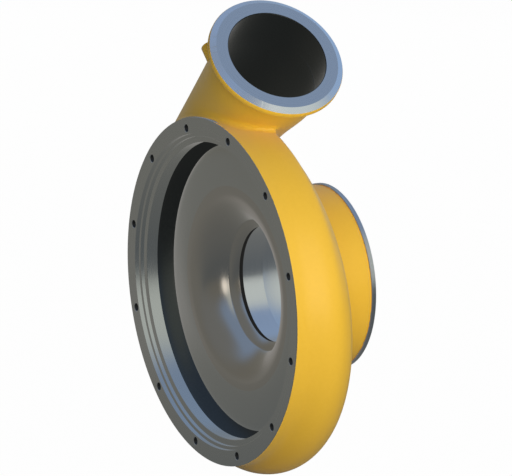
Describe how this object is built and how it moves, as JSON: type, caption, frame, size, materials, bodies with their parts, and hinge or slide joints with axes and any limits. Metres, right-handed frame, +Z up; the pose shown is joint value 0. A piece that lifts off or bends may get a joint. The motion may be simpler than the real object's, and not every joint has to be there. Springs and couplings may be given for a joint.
{
  "type": "turbo compressor housing",
  "caption": "Cast compressor housing for a turbocharger: stepped joint flange with bolt holes, spiral volute, flanged outlet pipe and a ported inlet tube",
  "frame": {"origin": "the middle of the joint flange's face, on the shaft axis", "axes": "the shaft axis is Y, the flange face looks towards -Y and the inlet towards +Y; +Z is up"},
  "size_m": [0.3772, 0.15, 0.4758],
  "materials": {
    "cast_paint": "satin paint",
    "machined": "turned",
    "passage": "dark lining"
  },
  "bodies": {
    "root": {"housing": "cast_paint"}
  },
  "joints": []
}
